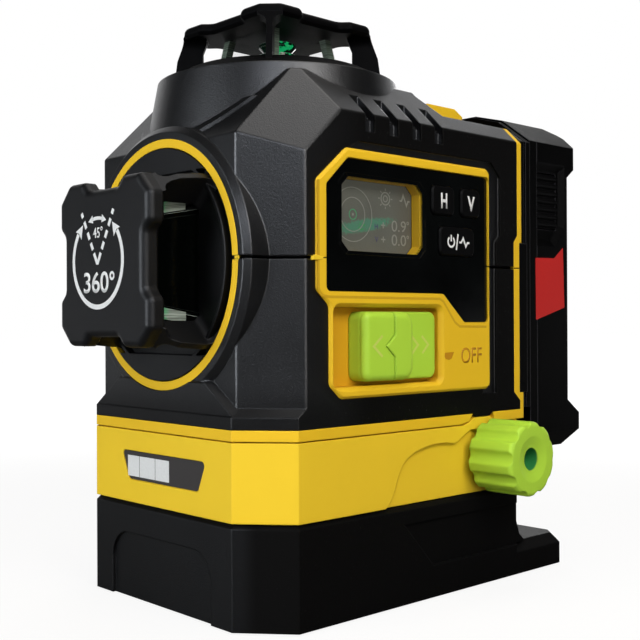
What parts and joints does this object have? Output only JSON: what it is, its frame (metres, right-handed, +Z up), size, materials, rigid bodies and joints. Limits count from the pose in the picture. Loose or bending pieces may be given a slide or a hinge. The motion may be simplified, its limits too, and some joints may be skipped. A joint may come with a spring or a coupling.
{
  "type": "cross line laser level",
  "caption": "Self-levelling laser level with a top and a front emitter under guards, a side display with keys and lock switch, a slide-on battery and a turning base with a fine knob.",
  "frame": {"origin": "on the turning axis, which is also the axis of the tripod thread, at the surface the rubber feet stand on", "axes": "+Z up, -Y out of the front emitter, +Y towards the battery, +X out of the control side"},
  "size_m": [0.0899, 0.1369, 0.141],
  "materials": {
    "black_plastic": "textured",
    "black_skin": "soft matte",
    "yellow_plastic": "satin",
    "rubber": "matte",
    "steel": "bright",
    "brass": "machined",
    "aluminium": "machined",
    "nylon": "plain",
    "glass": "clear",
    "gloss_black": "gloss",
    "screen": "screen",
    "board": "circuit board",
    "lime": "satin",
    "cell_wrap": "shrink sleeve"
  },
  "bodies": {
    "base": {"foot_base": "black_plastic", "bottom_plate": "black_plastic", "rubber_feet": "rubber", "bottom_screws": "steel", "spindle": "steel", "flange_screws": "steel", "tripod_insert": "brass", "thrust_washer": "nylon", "clutch_spring": "steel", "clutch_nut": "steel"},
    "clutch": {"worm_wheel": "brass", "friction_washer": "nylon"},
    "turntable": {"turntable_housing": "yellow_plastic", "pivot_bush": "brass", "worm_bushes": "brass", "shaft_seal": "rubber", "band_screws": "steel", "lower_shell": "yellow_plastic", "upper_shell": "yellow_plastic", "lower_overmould": "black_skin", "upper_overmould": "black_skin", "housing_screws": "steel", "front_guard": "black_plastic", "top_guard": "black_plastic", "front_window": "glass", "top_window": "glass", "display_panel": "gloss_black", "display_window": "glass", "display_module": "screen", "control_board": "board", "key_mat": "rubber", "chassis": "aluminium", "chassis_screws": "steel", "battery_dock": "black_plastic", "dock_contacts": "brass", "dock_screws": "steel"},
    "fine_drive": {"worm_shaft": "steel", "knob": "lime"},
    "h_button": {"h_button": "rubber"},
    "v_button": {"v_button": "rubber"},
    "power_button": {"power_button": "rubber"},
    "lock_slider": {"lock_slider": "lime"},
    "lock_pad": {"lock_pad": "black_plastic"},
    "gimbal": {"gimbal_ring": "aluminium", "side_pins": "steel"},
    "pendulum": {"pendulum_frame": "aluminium", "cross_pins": "steel", "top_laser": "brass", "front_laser": "brass", "top_cone": "glass", "front_cone": "glass", "pendulum_bob": "brass", "trim_screws": "steel"},
    "battery": {"battery_tray": "black_plastic", "battery_case": "black_plastic", "battery_cells": "cell_wrap", "cell_straps": "steel"},
    "right_grip": {"right_grip": "rubber"},
    "left_grip": {"left_grip": "rubber"}
  },
  "joints": [
    {"name": "coarse_turn", "type": "hinge", "parent": "base", "child": "clutch", "pos_m": [0, 0, 0], "axis": [0, 0, 1], "continuous": true},
    {"name": "fine_turn", "type": "hinge", "parent": "clutch", "child": "turntable", "pos_m": [0, 0, 0], "axis": [0, 0, 1], "continuous": true},
    {"name": "knob_turn", "type": "hinge", "parent": "turntable", "child": "fine_drive", "pos_m": [0, 0.0367, 0.0327], "axis": [1, 0, 0], "continuous": true},
    {"name": "h_press", "type": "slide", "parent": "turntable", "child": "h_button", "axis": [-1, 0, 0], "range_m": [0, 0.0008], "stiffness_N_per_m": 1500, "springref_m": -0.0003},
    {"name": "v_press", "type": "slide", "parent": "turntable", "child": "v_button", "axis": [-1, 0, 0], "range_m": [0, 0.0008], "stiffness_N_per_m": 1500, "springref_m": -0.0003},
    {"name": "power_press", "type": "slide", "parent": "turntable", "child": "power_button", "axis": [-1, 0, 0], "range_m": [0, 0.0008], "stiffness_N_per_m": 1500, "springref_m": -0.0003},
    {"name": "lock_slide", "type": "slide", "parent": "turntable", "child": "lock_slider", "axis": [0, -1, 0], "range_m": [0, 0.008]},
    {"name": "pad_drop", "type": "slide", "parent": "turntable", "child": "lock_pad", "axis": [0, 0, -1], "range_m": [0, 0.0015]},
    {"name": "gimbal_tilt", "type": "hinge", "parent": "turntable", "child": "gimbal", "pos_m": [0, 0, 0.1], "axis": [1, 0, 0], "range_deg": [-3.5, 3.5]},
    {"name": "pendulum_tilt", "type": "hinge", "parent": "gimbal", "child": "pendulum", "pos_m": [0, 0, 0.1], "axis": [0, 1, 0], "range_deg": [-3.5, 3.5]},
    {"name": "pack_slide", "type": "slide", "parent": "turntable", "child": "battery", "axis": [0, 1, 0], "range_m": [0, 0.03]},
    {"name": "right_grip_press", "type": "slide", "parent": "battery", "child": "right_grip", "axis": [-1, 0, 0], "range_m": [0, 0.0012], "stiffness_N_per_m": 1500, "springref_m": -0.0003},
    {"name": "left_grip_press", "type": "slide", "parent": "battery", "child": "left_grip", "axis": [1, 0, 0], "range_m": [0, 0.0012], "stiffness_N_per_m": 1500, "springref_m": -0.0003}
  ],
  "couplings": [
    {"joint": "knob_turn", "follows": "fine_turn", "ratio": -42},
    {"joint": "pad_drop", "follows": "lock_slide", "ratio": 0.1875}
  ]
}
